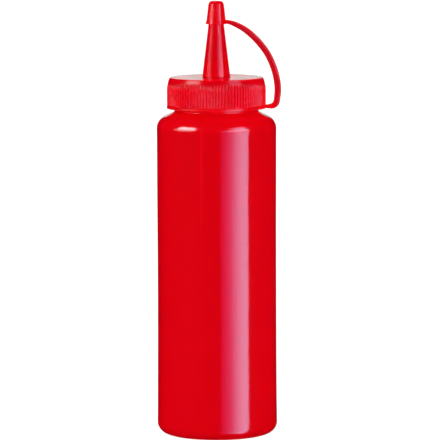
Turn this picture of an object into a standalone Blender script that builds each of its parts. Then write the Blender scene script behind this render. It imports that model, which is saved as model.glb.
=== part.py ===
"""Squeeze bottle with a ribbed screw cap, a cone nozzle and a tethered tip cap.

Metres, +Z up.  The origin is the centre of the base, on the plane that the bottle stands on,
+Z is the bottle's axis, and the tether arches over the +X side.
"""

import math

import bmesh
import bpy
from mathutils import Matrix, Vector

GAP = 0.0003                    # between a piece and the piece it fits on

# Bottle: a round blow-moulded body, a little slimmer at the waist than at both ends
BASE_RADIUS = 0.02805
WAIST_RADIUS = 0.02767
CROWN_RADIUS = 0.02785
WAIST_HEIGHT = 0.074
HEEL_FILLET = 0.0053
SHOULDER_FILLET = 0.0064
SHOULDER_SLOPE = math.radians(25)
NECK_RADIUS = 0.0195
NECK_FOOT_HEIGHT = 0.1507       # where the shoulder meets the neck
NECK_FILLET = 0.0005
NECK_TOP_HEIGHT = 0.1640        # hidden in the screw cap
NECK_TOP_FILLET = 0.0008
BASE_GROOVE_INNER = 0.0100      # a shallow ring pressed into the base
BASE_GROOVE_OUTER = 0.0175
BASE_GROOVE_DEPTH = 0.0006
BASE_GROOVE_SLOPE = 0.0010

# Screw cap: a skirt with grooves between upright ribs, a rounded rim and a flat top
CAP_FOOT_HEIGHT = 0.1521
CAP_TOP_HEIGHT = 0.1665
CAP_TOP_RADIUS = 0.02170
CAP_TOP_FILLET = 0.0007
CAP_TOP_THICKNESS = 0.0018
CAP_HOLLOW_RADIUS = 0.0199      # clears the neck's screw
SKIRT_RADIUS = 0.02292          # over the ribs
RIM_FOOT_HEIGHT = 0.1647        # the rim leans in from here
RIM_FOOT_RADIUS = 0.0223
RIM_FOOT_FILLET = 0.0020
RIB_COUNT = 96
RIB_DEPTH = 0.00045             # of the grooves between the ribs
RIB_FADE_HEIGHT = 0.1622        # full grooves up to here, none at the rim's foot

# Nozzle: a straight cone moulded on the cap's top
NOZZLE_FOOT_RADIUS = 0.0065
NOZZLE_RIM_RADIUS = 0.00355     # where it goes into the tip cap
NOZZLE_FOOT_FILLET = 0.0007
NOZZLE_SEAT_RADIUS = 0.00315    # inside the tip cap
NOZZLE_SEAT_HEIGHT = 0.1917
NOZZLE_TIP_RADIUS = 0.0023
NOZZLE_TIP_HEIGHT = 0.2000
NOZZLE_TIP_FILLET = 0.0006
ROOT_DEPTH = 0.00005            # how far a fillet starts inside the face it springs from

# Tether: a flat ring in a step round the skirt's foot, a strap, and the tip cap at its end
RING_HEIGHT = 0.0015
RING_FOOT_RADIUS = 0.02312
RING_TOP_RADIUS = 0.02296
RING_INNER_RADIUS = 0.0219
RING_FILLET = 0.0003
RING_TOP_EDGE = 0.0001

TIP_CAP_FOOT_HEIGHT = 0.19115
TIP_CAP_TOP_HEIGHT = 0.20185
TIP_CAP_TOP_RADIUS = 0.00342
TIP_CAP_TOP_FILLET = 0.0014
TIP_CAP_TOP_THICKNESS = 0.0013
TIP_CAP_WALL_RADIUS = 0.00445   # just above the flared lip
TIP_CAP_LIP_RADIUS = 0.00504
TIP_CAP_LIP_HEIGHT = 0.0016
TIP_CAP_LIP_EDGE = 0.0002
TIP_CAP_MOUTH_HEIGHT = 0.0012   # the mouth narrows to the seat over this height

STRAP_WIDTH = 0.0038
STRAP_SQUARENESS = 3.0          # of the section: 2 is an ellipse, more is squarer
STRAP_STEPS = 3                 # sections between two way points
# Way points of the strap's middle line, from the ring to the tip cap: X, Z and thickness
STRAP_ROUTE = (
    (0.0222, 0.15285, 0.0014),
    (0.0242, 0.15290, 0.0020),
    (0.0259, 0.15310, 0.0025),
    (0.02715, 0.15380, 0.0029),
    (0.02785, 0.15495, 0.0030),
    (0.02815, 0.15660, 0.0030),
    (0.0285, 0.16100, 0.0031),
    (0.02785, 0.16645, 0.00305),
    (0.0262, 0.17200, 0.0030),
    (0.0233, 0.17797, 0.0030),
    (0.0189, 0.18360, 0.0030),
    (0.0139, 0.18810, 0.0028),
    (0.00915, 0.19085, 0.0024),
    (0.0056, 0.19205, 0.0019),
    (0.0030, 0.19205, 0.0019),
)

# Facets
BOTTLE_SIDES = 64
CAP_SIDES = 2 * RIB_COUNT
NOZZLE_SIDES = 48
RING_SIDES = 64
TIP_CAP_SIDES = 36
STRAP_SIDES = 12
WALL_ROWS = 6                   # of the bottle's wall, between the heel and the shoulder
ARC_ERROR = 0.00003             # how far a facet along a fillet may cut inside its arc
SHARP_ANGLE = math.radians(35)  # a steeper edge is shaded sharp

PLASTIC_RED = (0.70, 0.002, 0.008, 1.0)


def clear_scene():
    for thing in list(bpy.data.objects):
        bpy.data.objects.remove(thing, do_unlink=True)


def plastic(name, roughness):
    """A glossy red moulding material."""
    material = bpy.data.materials.new(name)
    material.use_nodes = True
    shader = material.node_tree.nodes["Principled BSDF"]
    shader.inputs["Base Color"].default_value = PLASTIC_RED
    shader.inputs["Roughness"].default_value = roughness
    shader.inputs["Metallic"].default_value = 0.0
    material.diffuse_color = PLASTIC_RED
    return material


def filleted(corners):
    """Points of an outline whose corners, (radius, height, fillet), are rounded by arcs."""
    points = []
    for index, (radius, height, fillet) in enumerate(corners):
        corner = Vector((radius, height))
        if fillet == 0.0:
            points.append(corner)
            continue
        to_last = (Vector(corners[index - 1][:2]) - corner).normalized()
        to_next = (Vector(corners[index + 1][:2]) - corner).normalized()
        half_angle = to_last.angle(to_next) / 2
        middle = corner + (to_last + to_next).normalized() * fillet / math.sin(half_angle)
        start = corner + to_last * fillet / math.tan(half_angle) - middle
        end = corner + to_next * fillet / math.tan(half_angle) - middle
        turn = -start.angle_signed(end)
        steps = max(2, math.ceil(abs(turn) / (2 * math.acos(1 - ARC_ERROR / fillet))))
        for step in range(steps + 1):
            points.append(middle + Matrix.Rotation(turn * step / steps, 2) @ start)
    return points


def turned(name, outline, sides):
    """A closed body turned from an outline that runs from the axis, up the outside, and back."""
    bm = bmesh.new()
    verts = [bm.verts.new((point.x, 0.0, point.y)) for point in outline]
    edges = [bm.edges.new(pair) for pair in zip(verts, verts[1:])]
    if outline[0].x > 0.0:
        edges.append(bm.edges.new((verts[-1], verts[0])))
    bmesh.ops.spin(bm, geom=verts + edges, cent=(0, 0, 0), axis=(0, 0, 1),
                   angle=2 * math.pi, steps=sides, use_merge=True)
    bmesh.ops.remove_doubles(bm, verts=bm.verts, dist=1e-6)
    return finished(name, bm)


def finished(name, bm):
    """Puts a bmesh in the scene as an object with its faces pointing out."""
    bmesh.ops.recalc_face_normals(bm, faces=bm.faces)
    mesh = bpy.data.meshes.new(name)
    bm.to_mesh(mesh)
    bm.free()
    thing = bpy.data.objects.new(name, mesh)
    bpy.context.scene.collection.objects.link(thing)
    return thing


def combine(target, operation, tool):
    """Joins the tool to the target or cuts it out, and removes the tool."""
    modifier = target.modifiers.new(operation.title(), "BOOLEAN")
    modifier.operation = operation
    modifier.solver = "EXACT"
    modifier.object = tool
    bpy.context.view_layer.update()
    evaluated = target.evaluated_get(bpy.context.evaluated_depsgraph_get())
    joined = bpy.data.meshes.new_from_object(evaluated)
    target.modifiers.remove(modifier)
    target.data = joined
    bpy.data.objects.remove(tool, do_unlink=True)


def dressed(thing, material):
    """Gives a piece its material, smooth faces and sharp edges."""
    thing.data.materials.clear()
    thing.data.materials.append(material)
    thing.data.shade_smooth()
    thing.data.set_sharp_from_angle(angle=SHARP_ANGLE)


def side_radius(height):
    """The bottle's wall: a shallow curve that is slimmest at the waist."""
    if height < WAIST_HEIGHT:
        swell = (WAIST_HEIGHT - height) / WAIST_HEIGHT
        return WAIST_RADIUS + (BASE_RADIUS - WAIST_RADIUS) * swell ** 2
    swell = (height - WAIST_HEIGHT) / (NECK_FOOT_HEIGHT - WAIST_HEIGHT)
    return WAIST_RADIUS + (CROWN_RADIUS - WAIST_RADIUS) * swell ** 2


def make_bottle():
    shoulder_drop = (CROWN_RADIUS - NECK_RADIUS) * math.tan(SHOULDER_SLOPE)
    wall_foot = 2 * HEEL_FILLET
    wall_top = NECK_FOOT_HEIGHT - 2 * shoulder_drop
    corners = [
        (0.0, 0.0, 0.0),
        (BASE_GROOVE_INNER, 0.0, 0.0),
        (BASE_GROOVE_INNER + BASE_GROOVE_SLOPE, BASE_GROOVE_DEPTH, 0.0),
        (BASE_GROOVE_OUTER - BASE_GROOVE_SLOPE, BASE_GROOVE_DEPTH, 0.0),
        (BASE_GROOVE_OUTER, 0.0, 0.0),
        (BASE_RADIUS, 0.0, HEEL_FILLET),
    ]
    for row in range(WALL_ROWS + 1):
        height = wall_foot + (wall_top - wall_foot) * row / WALL_ROWS
        corners.append((side_radius(height), height, 0.0))
    corners += [
        (CROWN_RADIUS, NECK_FOOT_HEIGHT - shoulder_drop, SHOULDER_FILLET),
        (NECK_RADIUS, NECK_FOOT_HEIGHT, NECK_FILLET),
        (NECK_RADIUS, NECK_TOP_HEIGHT, NECK_TOP_FILLET),
        (0.0, NECK_TOP_HEIGHT, 0.0),
    ]
    return turned("bottle", filleted(corners), BOTTLE_SIDES)


def cut_grooves(cap, foot_height):
    """Presses every other column of the skirt's wall in between the ribs."""
    margin = 1e-5
    for vert in cap.data.vertices:
        radius = math.hypot(vert.co.x, vert.co.y)
        column = round(math.atan2(vert.co.y, vert.co.x) / (2 * math.pi) * CAP_SIDES)
        at_rib_height = foot_height - margin < vert.co.z < RIB_FADE_HEIGHT + margin
        if at_rib_height and column % 2 == 1 and radius > RING_INNER_RADIUS:
            vert.co.x *= 1 - RIB_DEPTH / radius
            vert.co.y *= 1 - RIB_DEPTH / radius


def make_screw_cap():
    step_radius = RING_INNER_RADIUS - GAP
    step_height = CAP_FOOT_HEIGHT + RING_HEIGHT + GAP
    cap = turned("screw_cap", filleted([
        (0.0, CAP_FOOT_HEIGHT, 0.0),
        (step_radius, CAP_FOOT_HEIGHT, 0.0),
        (step_radius, step_height, 0.0),
        (SKIRT_RADIUS, step_height, 0.0),
        (SKIRT_RADIUS, RIB_FADE_HEIGHT, 0.0),
        (RIM_FOOT_RADIUS, RIM_FOOT_HEIGHT, RIM_FOOT_FILLET),
        (CAP_TOP_RADIUS, CAP_TOP_HEIGHT, CAP_TOP_FILLET),
        (0.0, CAP_TOP_HEIGHT, 0.0),
    ]), CAP_SIDES)
    cut_grooves(cap, step_height)

    below_foot = CAP_FOOT_HEIGHT - CAP_TOP_THICKNESS
    ceiling = CAP_TOP_HEIGHT - CAP_TOP_THICKNESS
    hollow = turned("cap_hollow", filleted([
        (0.0, below_foot, 0.0),
        (CAP_HOLLOW_RADIUS, below_foot, 0.0),
        (CAP_HOLLOW_RADIUS, ceiling, 0.0),
        (0.0, ceiling, 0.0),
    ]), BOTTLE_SIDES)
    combine(cap, "DIFFERENCE", hollow)
    combine(cap, "UNION", make_nozzle())
    return cap


def make_nozzle():
    root_height = CAP_TOP_HEIGHT - CAP_TOP_THICKNESS / 2
    foot_height = CAP_TOP_HEIGHT - ROOT_DEPTH
    flare_radius = NOZZLE_FOOT_RADIUS + NOZZLE_FOOT_FILLET
    return turned("nozzle", filleted([
        (0.0, root_height, 0.0),
        (flare_radius, root_height, 0.0),
        (flare_radius, foot_height, 0.0),
        (NOZZLE_FOOT_RADIUS, foot_height, NOZZLE_FOOT_FILLET / 2),
        (NOZZLE_RIM_RADIUS, TIP_CAP_FOOT_HEIGHT, 0.0),
        (NOZZLE_SEAT_RADIUS, NOZZLE_SEAT_HEIGHT, 0.0),
        (NOZZLE_TIP_RADIUS, NOZZLE_TIP_HEIGHT, NOZZLE_TIP_FILLET),
        (0.0, NOZZLE_TIP_HEIGHT, 0.0),
    ]), NOZZLE_SIDES)


def curve_point(before, start, end, after, share):
    """A point on the smooth curve from start to end, and the curve's direction there."""
    leave = (end - before) / 2
    arrive = (after - start) / 2
    bend = 3 * (end - start) - 2 * leave - arrive
    twist = 2 * (start - end) + leave + arrive
    point = start + leave * share + bend * share ** 2 + twist * share ** 3
    direction = leave + 2 * bend * share + 3 * twist * share ** 2
    return point, direction


def strap_frames():
    """Matrices that lay a unit section across the strap at each of its stations."""
    route = [Vector(point) for point in STRAP_ROUTE]
    route = [2 * route[0] - route[1]] + route + [2 * route[-1] - route[-2]]
    stations = []
    for before, start, end, after in zip(route, route[1:], route[2:], route[3:]):
        for step in range(STRAP_STEPS):
            stations.append(curve_point(before, start, end, after, step / STRAP_STEPS))
    stations.append(curve_point(*route[-4:], 1.0))

    frames = []
    across = Vector((0.0, 1.0, 0.0))
    for (x, z, thickness), direction in stations:
        along = Vector((direction.x, 0.0, direction.y)).normalized()
        outward = across.cross(along)
        columns = (outward * thickness / 2, across * STRAP_WIDTH / 2, along)
        frame = Matrix(columns).transposed().to_4x4()
        frame.translation = (x, 0.0, z)
        frames.append(frame)
    return frames


def make_strap():
    """A bar with a rounded section, extruded from station to station."""
    frames = strap_frames()
    bm = bmesh.new()
    loop = bmesh.ops.create_circle(bm, radius=1.0, segments=STRAP_SIDES)["verts"]
    power = 2 / STRAP_SQUARENESS
    for vert in loop:
        vert.co.x = math.copysign(abs(vert.co.x) ** power, vert.co.x)
        vert.co.y = math.copysign(abs(vert.co.y) ** power, vert.co.y)
    bmesh.ops.transform(bm, matrix=frames[0], verts=loop)
    rim = bm.edges[:]
    for last, frame in zip(frames, frames[1:]):
        grown = bmesh.ops.extrude_edge_only(bm, edges=rim)["geom"]
        loop = [item for item in grown if isinstance(item, bmesh.types.BMVert)]
        rim = [item for item in grown if isinstance(item, bmesh.types.BMEdge)]
        bmesh.ops.transform(bm, matrix=frame @ last.inverted(), verts=loop)
    bmesh.ops.holes_fill(bm, edges=bm.edges)
    return finished("strap", bm)


def make_tip_cap():
    """The tip cap's outside: a thimble with a flared lip, still filled."""
    lip_top = TIP_CAP_FOOT_HEIGHT + TIP_CAP_LIP_HEIGHT
    return turned("tip_cap", filleted([
        (0.0, TIP_CAP_FOOT_HEIGHT, 0.0),
        (TIP_CAP_LIP_RADIUS, TIP_CAP_FOOT_HEIGHT, TIP_CAP_LIP_EDGE),
        (TIP_CAP_WALL_RADIUS, lip_top, TIP_CAP_LIP_HEIGHT),
        (TIP_CAP_TOP_RADIUS, TIP_CAP_TOP_HEIGHT, TIP_CAP_TOP_FILLET),
        (0.0, TIP_CAP_TOP_HEIGHT, 0.0),
    ]), TIP_CAP_SIDES)


def make_tip_cap_hollow():
    """The space in the tip cap: it follows the nozzle with a gap all round."""
    below_foot = TIP_CAP_FOOT_HEIGHT - TIP_CAP_MOUTH_HEIGHT
    ceiling = TIP_CAP_TOP_HEIGHT - TIP_CAP_TOP_THICKNESS
    return turned("tip_cap_hollow", filleted([
        (0.0, below_foot, 0.0),
        (NOZZLE_RIM_RADIUS + GAP, below_foot, 0.0),
        (NOZZLE_RIM_RADIUS + GAP, TIP_CAP_FOOT_HEIGHT, 0.0),
        (NOZZLE_SEAT_RADIUS + GAP, TIP_CAP_FOOT_HEIGHT + TIP_CAP_MOUTH_HEIGHT, 0.0),
        (NOZZLE_TIP_RADIUS + GAP, ceiling, 0.0),
        (0.0, ceiling, 0.0),
    ]), TIP_CAP_SIDES)


def make_tether():
    ring_top = CAP_FOOT_HEIGHT + RING_HEIGHT
    tether = turned("tether", filleted([
        (RING_INNER_RADIUS, CAP_FOOT_HEIGHT, 0.0),
        (RING_FOOT_RADIUS, CAP_FOOT_HEIGHT, RING_FILLET),
        (RING_TOP_RADIUS, ring_top, RING_TOP_EDGE),
        (RING_INNER_RADIUS, ring_top, 0.0),
    ]), RING_SIDES)
    combine(tether, "UNION", make_strap())
    combine(tether, "UNION", make_tip_cap())
    combine(tether, "DIFFERENCE", make_tip_cap_hollow())
    return tether


def main():
    clear_scene()
    dressed(make_bottle(), plastic("bottle_plastic", 0.2))
    dressed(make_screw_cap(), plastic("screw_cap_plastic", 0.25))
    dressed(make_tether(), plastic("tether_plastic", 0.25))


main()
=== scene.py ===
"""Looks of the squeeze bottle: smooth moulded meshes, red plastic, a studio and a camera.

Metres, +Z up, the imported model's own frame: the bottle stands on z = 0 with its axis on Z, and
the tether arches over the +X side.  Each node of the frame is replaced by a finer mesh of the
same piece, at the same sizes.
"""

import math

import bmesh
import bpy
from mathutils import Euler, Matrix, Vector, noise


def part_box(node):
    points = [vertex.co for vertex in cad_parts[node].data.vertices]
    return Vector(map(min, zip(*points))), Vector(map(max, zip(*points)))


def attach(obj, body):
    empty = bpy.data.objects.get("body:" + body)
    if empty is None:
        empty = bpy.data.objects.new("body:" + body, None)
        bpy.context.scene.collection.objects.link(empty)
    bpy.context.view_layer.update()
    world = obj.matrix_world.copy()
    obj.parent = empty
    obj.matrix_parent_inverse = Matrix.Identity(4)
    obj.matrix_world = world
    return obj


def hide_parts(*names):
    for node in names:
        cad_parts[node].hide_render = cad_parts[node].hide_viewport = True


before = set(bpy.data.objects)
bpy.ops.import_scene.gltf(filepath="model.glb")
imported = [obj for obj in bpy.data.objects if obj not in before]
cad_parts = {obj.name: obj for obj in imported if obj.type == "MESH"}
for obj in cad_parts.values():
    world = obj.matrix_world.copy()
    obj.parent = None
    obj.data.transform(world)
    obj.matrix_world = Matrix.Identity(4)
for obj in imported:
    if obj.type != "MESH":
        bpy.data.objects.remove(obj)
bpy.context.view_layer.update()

MM = 0.001

# The frame's own sizes
BOTTLE_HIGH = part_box("bottle")[1]
CAP_LOW, CAP_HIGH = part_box("screw_cap")
TETHER_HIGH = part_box("tether")[1]

# Bottle
BASE_RADIUS = 28.05 * MM
WAIST_RADIUS = 27.67 * MM
CROWN_RADIUS = 27.85 * MM
WAIST_HEIGHT = 74 * MM
HEEL_FILLET = 5.3 * MM
SHOULDER_FILLET = 6.4 * MM
SHOULDER_SLOPE = math.radians(25)
NECK_RADIUS = 19.5 * MM
NECK_FOOT_HEIGHT = 150.7 * MM
NECK_FILLET = 0.5 * MM
NECK_TOP_HEIGHT = BOTTLE_HIGH.z
NECK_TOP_FILLET = 0.8 * MM
BASE_GROOVE_INNER = 10.0 * MM
BASE_GROOVE_OUTER = 17.5 * MM
BASE_GROOVE_DEPTH = 0.6 * MM
BASE_GROOVE_SLOPE = 1.0 * MM
BASE_GROOVE_FILLET = 0.4 * MM
WALL_STEP = 2.5 * MM            # between the rows of the wall
SEAM_AZIMUTH = math.radians(-14.5)
SEAM_WIDTH = 0.45 * MM          # the parting line that the mould's halves leave
SEAM_HEIGHT = 0.03 * MM
WAVE_DEPTH = 0.06 * MM          # unevenness of the blown wall
BROAD_WAVES = 1.3               # waves round the wall, per radian
BROAD_WAVE_HEIGHT = 45 * MM
NARROW_WAVES = 3.0
NARROW_WAVE_HEIGHT = 18 * MM
NARROW_WAVE_SHARE = 0.35

# Screw cap
CAP_FOOT_HEIGHT = CAP_LOW.z
CAP_TOP_HEIGHT = 166.5 * MM
CAP_TOP_RADIUS = 21.7 * MM
CAP_TOP_FILLET = 0.7 * MM
CAP_TOP_THICKNESS = 1.8 * MM
CAP_HOLLOW_RADIUS = 19.9 * MM
CAP_CEILING_FILLET = 0.3 * MM
CAP_MOUTH_FILLET = 0.2 * MM     # of both edges of the skirt's foot
SKIRT_RADIUS = 22.92 * MM       # over the ribs
SKIRT_BEND_HEIGHT = 161.8 * MM  # the skirt leans in above this
SKIRT_BEND_FILLET = 4.0 * MM
RIM_FOOT_HEIGHT = 164.7 * MM
RIM_FOOT_RADIUS = 22.3 * MM
RIM_FOOT_FILLET = 2.0 * MM
RIB_COUNT = 96
RIB_DEPTH = 0.45 * MM           # of the sharp grooves between the round ribs
RIB_PHASE = -0.2                # how far round the ribs start, as a share of a rib
RIB_FADE_HEIGHT = 163.0 * MM    # the grooves are full up to here
RIB_END_HEIGHT = 164.7 * MM     # and gone here
RIB_FOOT_FADE = 0.3 * MM        # and over this height at the skirt's foot
RIB_FADE_ROWS = 5
GAP = 0.3 * MM                  # between pieces that sit in each other
SEAT_GAP = 0.02 * MM            # between the ring and the skirt above it

# Nozzle
NOZZLE_FOOT_RADIUS = 6.5 * MM
NOZZLE_RIM_RADIUS = 3.55 * MM
NOZZLE_FOOT_FILLET = 0.5 * MM
NOZZLE_SEAT_RADIUS = 3.15 * MM
NOZZLE_SEAT_HEIGHT = 191.7 * MM
NOZZLE_TIP_RADIUS = 2.3 * MM
NOZZLE_TIP_HEIGHT = CAP_HIGH.z
NOZZLE_TIP_FILLET = 0.6 * MM
NOZZLE_ROWS = (0.1, 0.5, 0.95, 0.99, 1.0)  # rows up the cone, as shares of its height

# Tether
RING_HEIGHT = 1.5 * MM
RING_FOOT_RADIUS = 23.12 * MM
RING_WAIST_RADIUS = 22.95 * MM  # the ring flares below this
RING_WAIST_HEIGHT = 0.8 * MM    # above its foot
RING_TOP_RADIUS = 22.93 * MM
RING_INNER_RADIUS = 21.9 * MM
RING_FILLET = 0.3 * MM
RING_WAIST_FILLET = 0.2 * MM
TIP_CAP_FOOT_HEIGHT = 191.15 * MM
TIP_CAP_TOP_HEIGHT = TETHER_HIGH.z
TIP_CAP_TOP_RADIUS = 3.42 * MM
TIP_CAP_TOP_FILLET = 2.0 * MM
TIP_CAP_TOP_THICKNESS = 1.3 * MM
TIP_CAP_WALL_RADIUS = 4.45 * MM
TIP_CAP_LIP_RADIUS = 5.04 * MM
TIP_CAP_LIP_HEIGHT = 1.6 * MM
TIP_CAP_LIP_EDGE = 0.2 * MM
TIP_CAP_MOUTH_HEIGHT = 1.2 * MM
TIP_CAP_MOUTH_FILLET = 0.1 * MM
STRAP_WIDTH = 3.8 * MM
STRAP_SQUARENESS = 4.5          # 2 is an ellipse
STRAP_STEPS = 8                 # from way point to way point
# Way points of the strap's middle line, from the ring to the tip cap: X, Z and thickness
STRAP_ROUTE = (
    (22.2, 152.85, 1.4),
    (24.2, 152.90, 2.0),
    (25.9, 153.10, 2.5),
    (27.15, 153.80, 2.9),
    (27.85, 154.95, 3.0),
    (28.15, 156.60, 3.0),
    (28.5, 161.00, 3.1),
    (27.85, 166.45, 3.05),
    (26.2, 172.00, 3.0),
    (23.3, 177.97, 3.0),
    (18.9, 183.60, 3.0),
    (13.9, 188.10, 2.8),
    (9.15, 190.85, 2.4),
    (5.6, 192.05, 1.9),
    (3.8, 192.05, 1.9),
)

# Facets
BOTTLE_SIDES = 360
COLUMNS_PER_RIB = 10
RING_SIDES = 192
TIP_CAP_SIDES = 96
STRAP_SIDES = 24
ARC_STEP = math.radians(7.5)    # along a fillet
TINY_FILLET = 0.3 * MM          # a fillet up to this size gets a third of the steps
SLIVER = 0.001 * MM             # shorter edges are closed up
SHARP_ANGLE = math.radians(40)  # a steeper edge is shaded sharp


def outline(corners):
    """A wire in the XZ plane; each corner is (radius, height, fillet)."""
    bm = bmesh.new()
    verts = [bm.verts.new((radius, 0.0, height)) for radius, height, _ in corners]
    for pair in zip(verts, verts[1:]):
        bm.edges.new(pair)
    for vert, (_, _, fillet) in zip(verts, corners):
        if fillet == 0.0:
            continue
        arms = [(edge.other_vert(vert).co - vert.co).normalized() for edge in vert.link_edges]
        half_angle = arms[0].angle(arms[1]) / 2
        turn = math.pi - 2 * half_angle
        arc_step = ARC_STEP if fillet > TINY_FILLET else 3 * ARC_STEP
        bmesh.ops.bevel(bm, geom=[vert], affect="VERTICES", offset_type="OFFSET",
                        offset=fillet / math.tan(half_angle), profile=0.5, material=-1,
                        segments=max(2, math.ceil(turn / arc_step)))
    return bm


def turned(corners, sides):
    """The outline spun round Z, an eighth of a turn that is then doubled three times."""
    bm = outline(corners)
    sector = 2 * math.pi / 8
    bmesh.ops.spin(bm, geom=bm.verts[:] + bm.edges[:], cent=(0, 0, 0), axis=(0, 0, 1),
                   angle=sector, steps=sides // 8)
    for angle in (sector, 2 * sector, 4 * sector):
        twin = bmesh.ops.duplicate(bm, geom=bm.verts[:] + bm.edges[:] + bm.faces[:])["geom"]
        bmesh.ops.rotate(bm, verts=[v for v in twin if isinstance(v, bmesh.types.BMVert)],
                         cent=(0, 0, 0), matrix=Matrix.Rotation(angle, 3, "Z"))
    bmesh.ops.remove_doubles(bm, verts=bm.verts, dist=SLIVER)
    bmesh.ops.recalc_face_normals(bm, faces=bm.faces)
    return bm


def piece_from(bm, name):
    mesh = bpy.data.meshes.new(name)
    bm.to_mesh(mesh)
    bm.free()
    piece = bpy.data.objects.new(name, mesh)
    bpy.context.scene.collection.objects.link(piece)
    return piece


def join(target, tool):
    """Joins the tool to the target, and removes the tool."""
    modifier = target.modifiers.new("Union", "BOOLEAN")
    modifier.operation = "UNION"
    modifier.solver = "EXACT"
    modifier.object = tool
    bpy.context.view_layer.update()
    evaluated = target.evaluated_get(bpy.context.evaluated_depsgraph_get())
    joined = bpy.data.meshes.new_from_object(evaluated)
    bm = bmesh.new()
    bm.from_mesh(joined)
    bmesh.ops.dissolve_degenerate(bm, dist=SLIVER, edges=bm.edges)
    bm.to_mesh(joined)
    bm.free()
    target.modifiers.remove(modifier)
    target.data = joined
    bpy.data.objects.remove(tool, do_unlink=True)


def dress(piece, node, material):
    """Gives a piece its material and smooth shading, and puts it in its node's place."""
    piece.data.materials.clear()
    piece.data.materials.append(material)
    piece.data.shade_smooth()
    piece.data.set_sharp_from_angle(angle=SHARP_ANGLE)
    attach(piece, "root")
    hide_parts(node)


# Bottle


def side_radius(height):
    """The wall: a shallow curve that is slimmest at the waist."""
    if height < WAIST_HEIGHT:
        swell = (WAIST_HEIGHT - height) / WAIST_HEIGHT
        return WAIST_RADIUS + (BASE_RADIUS - WAIST_RADIUS) * swell ** 2
    swell = (height - WAIST_HEIGHT) / (NECK_FOOT_HEIGHT - WAIST_HEIGHT)
    return WAIST_RADIUS + (CROWN_RADIUS - WAIST_RADIUS) * swell ** 2


def eased(share):
    """0 to 1 with a soft start and end."""
    share = min(max(share, 0.0), 1.0)
    return share * share * (3 - 2 * share)


def uneven_wall(vert, wall_foot, wall_top):
    """Moves a point of the wall in by the unevenness of blowing, out by the parting line."""
    radius = math.hypot(vert.co.x, vert.co.y)
    if radius < NECK_RADIUS or vert.co.z < BASE_GROOVE_DEPTH:
        return
    azimuth = math.atan2(vert.co.x, -vert.co.y)
    around = Vector((math.sin(azimuth), math.cos(azimuth), 0.0))
    at_foot = eased(vert.co.z / wall_foot)
    at_top = eased((NECK_FOOT_HEIGHT - vert.co.z) / (NECK_FOOT_HEIGHT - wall_top))
    fade = at_foot * at_top
    broad = noise.noise(around * BROAD_WAVES + Vector((0.0, 0.0, vert.co.z / BROAD_WAVE_HEIGHT)))
    narrow = noise.noise(around * NARROW_WAVES + Vector((7.0, 0.0, vert.co.z / NARROW_WAVE_HEIGHT)))
    wave = WAVE_DEPTH * (broad + NARROW_WAVE_SHARE * narrow - 1.0) * fade
    from_seam = min(abs(azimuth - SEAM_AZIMUTH),
                    abs(abs(azimuth - SEAM_AZIMUTH) - math.pi)) * radius
    seam = SEAM_HEIGHT * math.exp(-(from_seam / (SEAM_WIDTH / 2)) ** 2)
    factor = (radius + wave + seam * fade) / radius
    vert.co.x *= factor
    vert.co.y *= factor


def make_bottle():
    shoulder_drop = (CROWN_RADIUS - NECK_RADIUS) * math.tan(SHOULDER_SLOPE)
    wall_foot = 2 * HEEL_FILLET
    wall_top = NECK_FOOT_HEIGHT - 2 * shoulder_drop
    rows = math.ceil((wall_top - wall_foot) / WALL_STEP)
    corners = [
        (0.0, 0.0, 0.0),
        (BASE_GROOVE_INNER, 0.0, BASE_GROOVE_FILLET),
        (BASE_GROOVE_INNER + BASE_GROOVE_SLOPE, BASE_GROOVE_DEPTH, BASE_GROOVE_FILLET),
        (BASE_GROOVE_OUTER - BASE_GROOVE_SLOPE, BASE_GROOVE_DEPTH, BASE_GROOVE_FILLET),
        (BASE_GROOVE_OUTER, 0.0, BASE_GROOVE_FILLET),
        (BASE_RADIUS, 0.0, HEEL_FILLET),
    ]
    for row in range(rows + 1):
        height = wall_foot + (wall_top - wall_foot) * row / rows
        corners.append((side_radius(height), height, 0.0))
    corners += [
        (CROWN_RADIUS, NECK_FOOT_HEIGHT - shoulder_drop, SHOULDER_FILLET),
        (NECK_RADIUS, NECK_FOOT_HEIGHT, NECK_FILLET),
        (NECK_RADIUS, NECK_TOP_HEIGHT, NECK_TOP_FILLET),
        (0.0, NECK_TOP_HEIGHT, 0.0),
    ]
    bm = turned(corners, BOTTLE_SIDES)
    for vert in bm.verts:
        uneven_wall(vert, wall_foot, wall_top)
    return piece_from(bm, "bottle_skin")


# Screw cap


def skirt_corners(foot_height):
    """The skirt's outer wall, with rows where the ribs fade."""
    corners = [(SKIRT_RADIUS, foot_height, 0.0)]
    for row in range(1, RIB_FADE_ROWS + 1):
        corners.append((SKIRT_RADIUS, foot_height + RIB_FOOT_FADE * row / RIB_FADE_ROWS, 0.0))
    corners.append((SKIRT_RADIUS, SKIRT_BEND_HEIGHT, SKIRT_BEND_FILLET))
    for row in range(2 * RIB_FADE_ROWS):
        height = RIB_FADE_HEIGHT + (RIB_END_HEIGHT - RIB_FADE_HEIGHT) * row / (2 * RIB_FADE_ROWS)
        lean = (height - SKIRT_BEND_HEIGHT) / (RIM_FOOT_HEIGHT - SKIRT_BEND_HEIGHT)
        corners.append((SKIRT_RADIUS + (RIM_FOOT_RADIUS - SKIRT_RADIUS) * lean, height, 0.0))
    corners.append((RIM_FOOT_RADIUS, RIM_FOOT_HEIGHT, RIM_FOOT_FILLET))
    return corners


def nozzle_corners():
    """The nozzle's straight cone, with rows that keep its shading straight."""
    corners = [(NOZZLE_FOOT_RADIUS, CAP_TOP_HEIGHT, NOZZLE_FOOT_FILLET)]
    for share in NOZZLE_ROWS:
        corners.append((NOZZLE_FOOT_RADIUS + (NOZZLE_RIM_RADIUS - NOZZLE_FOOT_RADIUS) * share,
                        CAP_TOP_HEIGHT + (TIP_CAP_FOOT_HEIGHT - CAP_TOP_HEIGHT) * share, 0.0))
    return corners


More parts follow.
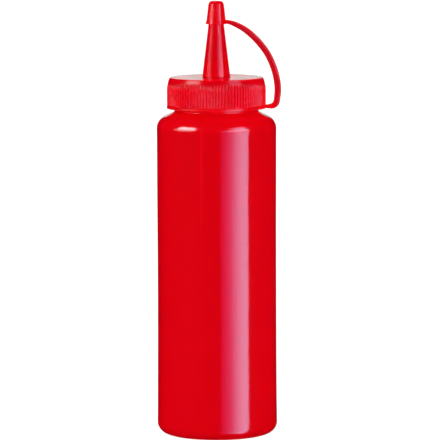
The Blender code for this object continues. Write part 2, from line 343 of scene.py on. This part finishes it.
def cut_grooves(bm, foot_height):
    """Presses the skirt's wall in between the ribs, less and less towards both ends."""
    for vert in bm.verts:
        radius = math.hypot(vert.co.x, vert.co.y)
        if radius < RING_INNER_RADIUS or vert.co.z > RIB_END_HEIGHT:
            continue
        turn = RIB_COUNT * math.atan2(vert.co.x, -vert.co.y) + 2 * math.pi * RIB_PHASE
        groove = 1 - abs(math.cos(turn / 2))
        at_top = eased((RIB_END_HEIGHT - vert.co.z) / (RIB_END_HEIGHT - RIB_FADE_HEIGHT))
        at_foot = eased((vert.co.z - foot_height) / RIB_FOOT_FADE)
        factor = 1 - RIB_DEPTH * groove * at_top * at_foot / radius
        vert.co.x *= factor
        vert.co.y *= factor


def make_screw_cap():
    step_radius = RING_INNER_RADIUS - GAP
    step_height = CAP_FOOT_HEIGHT + RING_HEIGHT + SEAT_GAP
    ceiling = CAP_TOP_HEIGHT - CAP_TOP_THICKNESS
    bm = turned([
        (0.0, ceiling, 0.0),
        (CAP_HOLLOW_RADIUS, ceiling, CAP_CEILING_FILLET),
        (CAP_HOLLOW_RADIUS, CAP_FOOT_HEIGHT, CAP_MOUTH_FILLET),
        (step_radius, CAP_FOOT_HEIGHT, CAP_MOUTH_FILLET),
        (step_radius, step_height, 0.0),
        *skirt_corners(step_height),
        (CAP_TOP_RADIUS, CAP_TOP_HEIGHT, CAP_TOP_FILLET),
        *nozzle_corners(),
        (NOZZLE_SEAT_RADIUS, NOZZLE_SEAT_HEIGHT, 0.0),
        (NOZZLE_TIP_RADIUS, NOZZLE_TIP_HEIGHT, NOZZLE_TIP_FILLET),
        (0.0, NOZZLE_TIP_HEIGHT, 0.0),
    ], RIB_COUNT * COLUMNS_PER_RIB)
    cut_grooves(bm, step_height)
    return piece_from(bm, "screw_cap_skin")


# Tether


def curve_point(before, start, end, after, share):
    """A point on the smooth curve from start to end, and the curve's direction there."""
    leave = (end - before) / 2
    arrive = (after - start) / 2
    bend = 3 * (end - start) - 2 * leave - arrive
    twist = 2 * (start - end) + leave + arrive
    point = start + leave * share + bend * share ** 2 + twist * share ** 3
    direction = leave + 2 * bend * share + 3 * twist * share ** 2
    return point, direction


def strap_frames():
    """Matrices that lay a unit section across the strap at each of its stations."""
    route = [Vector(point) * MM for point in STRAP_ROUTE]
    route = [2 * route[0] - route[1]] + route + [2 * route[-1] - route[-2]]
    stations = []
    for before, start, end, after in zip(route, route[1:], route[2:], route[3:]):
        for step in range(STRAP_STEPS):
            stations.append(curve_point(before, start, end, after, step / STRAP_STEPS))
    stations.append(curve_point(*route[-4:], 1.0))
    frames = []
    across = Vector((0.0, 1.0, 0.0))
    for (x, z, thickness), direction in stations:
        along = Vector((direction.x, 0.0, direction.y)).normalized()
        outward = across.cross(along)
        columns = (outward * thickness / 2, across * STRAP_WIDTH / 2, along)
        placed = Matrix(columns).transposed().to_4x4()
        placed.translation = (x, 0.0, z)
        frames.append(placed)
    return frames


def make_strap():
    """A bar with a rounded section, extruded from station to station."""
    frames = strap_frames()
    bm = bmesh.new()
    loop = bmesh.ops.create_circle(bm, radius=1.0, segments=STRAP_SIDES)["verts"]
    power = 2 / STRAP_SQUARENESS
    for vert in loop:
        vert.co.x = math.copysign(abs(vert.co.x) ** power, vert.co.x)
        vert.co.y = math.copysign(abs(vert.co.y) ** power, vert.co.y)
    bmesh.ops.transform(bm, matrix=frames[0], verts=loop)
    rim = bm.edges[:]
    for last, placed in zip(frames, frames[1:]):
        grown = bmesh.ops.extrude_edge_only(bm, edges=rim)["geom"]
        loop = [item for item in grown if isinstance(item, bmesh.types.BMVert)]
        rim = [item for item in grown if isinstance(item, bmesh.types.BMEdge)]
        bmesh.ops.transform(bm, matrix=placed @ last.inverted(), verts=loop)
    bmesh.ops.holes_fill(bm, edges=bm.edges)
    bmesh.ops.recalc_face_normals(bm, faces=bm.faces)
    return piece_from(bm, "strap")


def make_ring():
    ring_top = CAP_FOOT_HEIGHT + RING_HEIGHT
    bm = turned([
        (RING_INNER_RADIUS, CAP_FOOT_HEIGHT, 0.0),
        (RING_FOOT_RADIUS, CAP_FOOT_HEIGHT, RING_FILLET),
        (RING_WAIST_RADIUS, CAP_FOOT_HEIGHT + RING_WAIST_HEIGHT, RING_WAIST_FILLET),
        (RING_TOP_RADIUS, ring_top, 0.0),
        (RING_INNER_RADIUS, ring_top, 0.0),
        (RING_INNER_RADIUS, CAP_FOOT_HEIGHT, 0.0),
    ], RING_SIDES)
    return piece_from(bm, "tether_skin")


def make_tip_cap():
    """A thimble with a flared lip, hollow round the nozzle's tip."""
    lip_top = TIP_CAP_FOOT_HEIGHT + TIP_CAP_LIP_HEIGHT
    mouth_top = TIP_CAP_FOOT_HEIGHT + TIP_CAP_MOUTH_HEIGHT
    ceiling = TIP_CAP_TOP_HEIGHT - TIP_CAP_TOP_THICKNESS
    bm = turned([
        (0.0, ceiling, 0.0),
        (NOZZLE_TIP_RADIUS + GAP, ceiling, 0.0),
        (NOZZLE_SEAT_RADIUS + GAP, mouth_top, 0.0),
        (NOZZLE_RIM_RADIUS + GAP, TIP_CAP_FOOT_HEIGHT, TIP_CAP_MOUTH_FILLET),
        (TIP_CAP_LIP_RADIUS, TIP_CAP_FOOT_HEIGHT, TIP_CAP_LIP_EDGE),
        (TIP_CAP_WALL_RADIUS, lip_top, TIP_CAP_LIP_HEIGHT),
        (TIP_CAP_TOP_RADIUS, TIP_CAP_TOP_HEIGHT, TIP_CAP_TOP_FILLET),
        (0.0, TIP_CAP_TOP_HEIGHT, 0.0),
    ], TIP_CAP_SIDES)
    return piece_from(bm, "tip_cap")


def make_tether():
    tether = make_ring()
    join(tether, make_strap())
    join(tether, make_tip_cap())
    return tether


# Materials

CLOUD_SCALE = 60.0
POLISH_SCALE = 220.0
POLISH_SPREAD = 0.03            # of the roughness, up and down
RIPPLE_HEIGHT = 0.02 * MM
CREST_SHARE = 0.6               # the part of a rib's depth over which the painted light on its top grows
SEAM_HIGHLIGHT_WIDTHS = (0.6 * MM, 0.2 * MM)     # where the painted highlight on the seam starts and is full
SEAM_HIGHLIGHT_RISE = (85 * MM, 125 * MM)        # the heights over which it grows
SEAM_HIGHLIGHT_LEAST = 0.2                       # its share below them
SEAM_HIGHLIGHT_END = (147 * MM, 143 * MM)        # the heights where it is gone and still full
# Where the painted shade on the strap starts, along X and along Z
STRAP_SHADE_STARTS = {"X": (5.0 * MM, 8.0 * MM), "Z": (153.7 * MM, 156.7 * MM)}


def noise_over(tree, spot, scale, detail):
    """Cloudy noise over the piece, from 0 to 1."""
    cloud = tree.nodes.new("ShaderNodeTexNoise")
    cloud.inputs["Scale"].default_value = scale
    cloud.inputs["Detail"].default_value = detail
    tree.links.new(spot, cloud.inputs["Vector"])
    return cloud.outputs["Fac"]


def mapped(tree, value, start, end, low=0.0, high=1.0, curve="LINEAR"):
    """Takes a value from start to end over to low to high, and no further."""
    change = tree.nodes.new("ShaderNodeMapRange")
    change.interpolation_type = curve
    change.inputs["From Min"].default_value = start
    change.inputs["From Max"].default_value = end
    change.inputs["To Min"].default_value = low
    change.inputs["To Max"].default_value = high
    tree.links.new(value, change.inputs["Value"])
    return change.outputs["Result"]


def worked_out(tree, operation, *values):
    """The result of a sum on one or two values."""
    work = tree.nodes.new("ShaderNodeMath")
    work.operation = operation
    for socket, value in zip(work.inputs, values):
        tree.links.new(value, socket)
    return work.outputs["Value"]


def blended(tree, factor, first, second):
    """Two colours mixed by a factor; each is a plain colour or a node's output."""
    mix = tree.nodes.new("ShaderNodeMix")
    mix.data_type = "RGBA"
    tree.links.new(factor, mix.inputs["Factor"])
    for socket, colour in (("A", first), ("B", second)):
        if isinstance(colour, tuple):
            mix.inputs[socket].default_value = colour
        else:
            tree.links.new(colour, mix.inputs[socket])
    return mix.outputs["Result"]


def along_axes(tree, spot):
    parts = tree.nodes.new("ShaderNodeSeparateXYZ")
    tree.links.new(spot, parts.inputs[0])
    return parts.outputs


def painted_crest_light(tree, spot):
    """Where the painted light goes: 1 on the tops of the ribs, 0 in the grooves and inside."""
    flat = tree.nodes.new("ShaderNodeVectorMath")
    flat.operation = "MULTIPLY"
    flat.inputs[1].default_value = (1.0, 1.0, 0.0)
    tree.links.new(spot, flat.inputs[0])
    radius = tree.nodes.new("ShaderNodeVectorMath")
    radius.operation = "LENGTH"
    tree.links.new(flat.outputs["Vector"], radius.inputs[0])
    return mapped(tree, radius.outputs["Value"], SKIRT_RADIUS - CREST_SHARE * RIB_DEPTH,
                  SKIRT_RADIUS, curve="SMOOTHSTEP")


def seam_painted_highlight(tree, spot):
    """Where the painted highlight on the seam goes: 1 on the parting line below the shoulder, less
    towards the heel, 0 elsewhere.
    """
    across = tree.nodes.new("ShaderNodeVectorMath")
    across.operation = "DOT_PRODUCT"
    across.inputs[1].default_value = (math.cos(SEAM_AZIMUTH), math.sin(SEAM_AZIMUTH), 0.0)
    tree.links.new(spot, across.inputs[0])
    distance = worked_out(tree, "ABSOLUTE", across.outputs["Value"])
    near = mapped(tree, distance, *SEAM_HIGHLIGHT_WIDTHS, curve="SMOOTHSTEP")
    height = along_axes(tree, spot)["Z"]
    high = mapped(tree, height, *SEAM_HIGHLIGHT_RISE, low=SEAM_HIGHLIGHT_LEAST)
    below_shoulder = mapped(tree, height, *SEAM_HIGHLIGHT_END)
    return worked_out(tree, "MULTIPLY", worked_out(tree, "MULTIPLY", near, high), below_shoulder)


def painted_strap_shade(tree, spot):
    """Where the painted shade goes: 1 on the strap, beyond the tip cap and above the ring, 0 on
    those.
    """
    axes = along_axes(tree, spot)
    return worked_out(tree, "MULTIPLY", *(
        mapped(tree, axes[axis], start, end) for axis, (start, end) in STRAP_SHADE_STARTS.items()))


def grip_height(tree, spot, haze):
    """The haze up to the ribs' fade, and nothing above them."""
    return mapped(tree, along_axes(tree, spot)["Z"], RIM_FOOT_HEIGHT, RIB_FADE_HEIGHT, high=haze)


def red_plastic(name, base_red, deep_red, roughness, wave_length, wave_strength, glow_depth,
                gloss_level=0.5, painted_light_mask=None, painted_light_red=None, grip_haze=0.0):
    """Coloured polyethylene: a glossy skin with faint cloudiness and fine unevenness.

    The painted light mask says where the painted light's red takes over: a painted highlight
    or painted shade in place of real light or shade.  A grip haze is added to the roughness of
    everything up to the ribs' end.
    """
    material = bpy.data.materials.new(name)
    material.use_nodes = True
    tree = material.node_tree
    shader = tree.nodes["Principled BSDF"]
    shader.inputs["IOR"].default_value = 1.5
    shader.inputs["Subsurface Weight"].default_value = 1.0
    shader.inputs["Subsurface Radius"].default_value = (1.0, 0.1, 0.1)
    shader.inputs["Subsurface Scale"].default_value = glow_depth
    shader.inputs["Specular IOR Level"].default_value = gloss_level
    spot = tree.nodes.new("ShaderNodeTexCoord").outputs["Object"]

    colour = blended(tree, noise_over(tree, spot, CLOUD_SCALE, 3.0), base_red, deep_red)
    # Painted light: a lighter or darker red where a highlight or shade falls, not the plastic's own
    # colour
    if painted_light_mask:
        colour = blended(tree, painted_light_mask(tree, spot), colour, painted_light_red)
    tree.links.new(colour, shader.inputs["Base Color"])

    polish = noise_over(tree, spot, POLISH_SCALE, 4.0)
    finish = mapped(tree, polish, 0.0, 1.0, roughness - POLISH_SPREAD, roughness + POLISH_SPREAD)
    if grip_haze:
        finish = worked_out(tree, "ADD", finish, grip_height(tree, spot, grip_haze))
    tree.links.new(finish, shader.inputs["Roughness"])

    bump = tree.nodes.new("ShaderNodeBump")
    bump.inputs["Strength"].default_value = wave_strength
    bump.inputs["Distance"].default_value = RIPPLE_HEIGHT
    tree.links.new(noise_over(tree, spot, 1.0 / wave_length, 2.0), bump.inputs["Height"])
    tree.links.new(bump.outputs["Normal"], shader.inputs["Normal"])
    return material


def bottle_red():
    # The paler red on the parting line is a painted highlight: the reflection that its ridge
    # catches
    return red_plastic("bottle_red", (0.70, 0.0005, 0.007, 1), (0.67, 0.0005, 0.006, 1),
                       roughness=0.12, wave_length=6 * MM, wave_strength=0.4, glow_depth=4 * MM,
                       painted_light_mask=seam_painted_highlight, painted_light_red=(0.78, 0.0035, 0.013, 1))


def screw_cap_red():
    """A duller red, painted paler on the ribs' tops: painted light that stands in for the light
    coming through the plastic there and for the shade in the grooves.
    """
    return red_plastic("screw_cap_red", (0.635, 0.0005, 0.008, 1), (0.605, 0.0005, 0.007, 1),
                       roughness=0.15, wave_length=3 * MM, wave_strength=0.05,
                       glow_depth=2.5 * MM, gloss_level=0.15,
                       painted_light_mask=painted_crest_light, painted_light_red=(0.74, 0.002, 0.016, 1), grip_haze=0.12)


def tether_red():
    """Painted shade on the strap, which is thin: a deeper red that stands in for the shade on it.
    """
    return red_plastic("tether_red", (0.69, 0.003, 0.010, 1), (0.66, 0.003, 0.009, 1),
                       roughness=0.15, wave_length=2 * MM, wave_strength=0.3,
                       glow_depth=1.2 * MM, gloss_level=0.17,
                       painted_light_mask=painted_strap_shade, painted_light_red=(0.57, 0.006, 0.015, 1))


# Studio

WHITE = (1.0, 1.0, 1.0)
FLOOR_GREY = (0.3, 0.3, 0.3)
FLOOR_ROUGHNESS = 0.9
FLOOR_GLOW = 0.8
FLOOR_HALF_WIDTH = 6.0

# Soft lamps all round, kept out of the gloss: azimuth, elevation, strength, and whether they
# cast shadows (a front fill doesn't, so that the recessed neck is as bright as the wall)
SOFT_LAMPS = {
    "soft_front": (0, 10, 1.36, False),
    "soft_left": (-65, 15, 1.42, False),
    "soft_right": (65, 15, 1.42, False),
    "soft_back_left": (-125, 15, 1.32, True),
    "soft_back_right": (125, 15, 1.32, True),
    "soft_back": (180, 15, 1.15, True),
    "soft_top": (0, 88, 1.2, True),
    "soft_below": (0, -88, 1.4, True),
}
SOFT_LAMP_ANGLE = math.radians(110)

# Camera
SENSOR_WIDTH = 36.0             # millimetres, as the lens
LENS_LENGTH = 291.8
NEAREST = 0.05
CAMERA_PLACE = (0.00149, -1.65, 0.2853)
LOOKING_DOWN = math.radians(6.413)
ROLL = math.radians(-0.18)

# Panels that only the gloss shows: azimuths, distance, lowest and highest point, and radiance.
# The big softbox on the right is dimmer and bluer towards the front.
PANELS = (
    ("softbox_low_1", (8, 16), 1.0, (-1.0, 0.068), (0.9, 0.2, 0.9)),
    ("softbox_low_2", (16, 24), 1.0, (-1.0, 0.068), (1.5, 0.5, 1.7)),
    ("softbox_low_3", (24, 31), 1.0, (-1.0, 0.068), (1.6, 1.1, 2.6)),
    ("softbox_low_4", (31, 38), 1.0, (-1.0, 0.068), (1.7, 2.4, 4.7)),
    ("softbox_low_5", (38, 46), 1.0, (-1.0, 0.068), (2.3, 3.9, 6.3)),
    ("softbox_low_6", (46, 62.3), 1.0, (-1.0, 0.068), (2.9, 5.2, 8.0)),
    ("softbox_gap_1", (24, 38), 1.0, (0.068, 0.22), (0.6, 0.6, 1.2)),
    ("softbox_gap_2", (38, 60), 1.0, (0.068, 0.22), (1.0, 1.4, 2.3)),
    ("softbox_middle_1", (7, 19), 1.0, (0.22, 0.42), (1.5, 0.6, 1.8)),
    ("softbox_middle_2", (19, 32), 1.0, (0.22, 0.42), (3.5, 3.2, 6.0)),
    ("softbox_middle_3", (32, 64), 1.0, (0.22, 0.42), (7.0, 9.5, 13.0)),
    ("softbox_top_1", (27, 34), 1.0, (0.42, 0.93), (1.5, 1.2, 2.6)),
    ("softbox_top_2", (34, 46), 1.0, (0.42, 0.93), (2.3, 3.5, 5.6)),
    ("softbox_top_3", (46, 62.3), 1.0, (0.42, 0.93), (2.9, 5.2, 8.0)),
    ("side_light", (-80, -44), 1.0, (0.40, 0.85), (14.0, 14.0, 14.0)),
    ("side_light_middle", (-88, -56), 1.0, (0.27, 0.40), (3.5, 3.5, 3.5)),
    ("side_light_foot", (-86, -45), 1.0, (0.20, 0.27), (5.0, 5.0, 5.0)),
    ("backdrop", (169, 191), 1.5, (0.2, 0.7), (0.58, 1.07, 1.05)),
    ("backdrop_foot", (165, 195), 1.5, (-1.0, 0.2), (0.15, 0.15, 0.15)),
)


def floor_paper():
    """Matt white paper that glows a little, so that it comes out pale all over."""
    material = bpy.data.materials.new("floor_paper")
    material.use_nodes = True
    shader = material.node_tree.nodes["Principled BSDF"]
    shader.inputs["Base Color"].default_value = (*FLOOR_GREY, 1.0)
    shader.inputs["Roughness"].default_value = FLOOR_ROUGHNESS
    shader.inputs["Specular IOR Level"].default_value = 0.0
    shader.inputs["Emission Color"].default_value = (*WHITE, 1.0)
    shader.inputs["Emission Strength"].default_value = FLOOR_GLOW
    return material


def make_floor():
    bm = bmesh.new()
    bmesh.ops.create_grid(bm, x_segments=1, y_segments=1, size=FLOOR_HALF_WIDTH)
    floor = piece_from(bm, "floor")
    floor.data.materials.append(floor_paper())
    floor.visible_glossy = False
    floor.visible_diffuse = False
    floor.visible_shadow = False


def make_world():
    """White surroundings that light nothing: the lamps do that."""
    world = bpy.data.worlds.new("studio")
    bpy.context.scene.world = world
    world.use_nodes = True
    background = world.node_tree.nodes["Background"]
    background.inputs["Color"].default_value = (*WHITE, 1.0)
    background.inputs["Strength"].default_value = 1.0
    world.cycles_visibility.diffuse = False
    world.cycles_visibility.glossy = False


def soft_lamp(name, azimuth, elevation, strength, casts_shadow):
    """A very wide sun that the gloss doesn't show; azimuth 0 is in front, 90 on the +X side."""
    lamp = bpy.data.lights.new(name, "SUN")
    lamp.energy = strength
    lamp.angle = SOFT_LAMP_ANGLE
    lamp.use_shadow = casts_shadow
    lamp.cycles.use_multiple_importance_sampling = False
    sun = bpy.data.objects.new(name, lamp)
    bpy.context.scene.collection.objects.link(sun)
    sun.rotation_euler = Euler((math.radians(90 - elevation), 0.0, math.radians(azimuth)))
    sun.visible_glossy = False
    sun.visible_camera = False


def reflected_panel(name, azimuths, distance, heights, radiance):
    """An upright lamp that only shows in the gloss, between two azimuths and two heights."""
    half_angle = math.radians(azimuths[1] - azimuths[0]) / 2
    turn = math.radians(azimuths[1] + azimuths[0]) / 2
    lamp = bpy.data.lights.new(name, "AREA")
    lamp.shape = "RECTANGLE"
    lamp.size = 2 * distance * math.tan(half_angle)
    lamp.size_y = heights[1] - heights[0]
    lamp.color = radiance
    lamp.energy = math.pi * lamp.size * lamp.size_y
    panel = bpy.data.objects.new(name, lamp)
    bpy.context.scene.collection.objects.link(panel)
    panel.location = (distance * math.sin(turn), -distance * math.cos(turn), sum(heights) / 2)
    panel.rotation_euler = Euler((math.radians(90), 0.0, turn))
    panel.visible_camera = False
    panel.visible_diffuse = False
    panel.visible_transmission = False


def make_lights():
    for name, settings in SOFT_LAMPS.items():
        soft_lamp(name, *settings)
    for panel in PANELS:
        reflected_panel(*panel)


def make_camera():
    lens = bpy.data.cameras.new("camera")
    lens.sensor_width = SENSOR_WIDTH
    lens.lens = LENS_LENGTH
    lens.clip_start = NEAREST
    camera = bpy.data.objects.new("camera", lens)
    bpy.context.scene.collection.objects.link(camera)
    tilt = Matrix.Rotation(math.radians(90) - LOOKING_DOWN, 4, "X")
    camera.matrix_world = Matrix.Translation(CAMERA_PLACE) @ tilt @ Matrix.Rotation(ROLL, 4, "Z")
    bpy.context.scene.camera = camera


make_camera()
dress(make_bottle(), "bottle", bottle_red())
dress(make_screw_cap(), "screw_cap", screw_cap_red())
dress(make_tether(), "tether", tether_red())
make_floor()
make_world()
make_lights()
bpy.context.scene.view_settings.view_transform = "Standard"
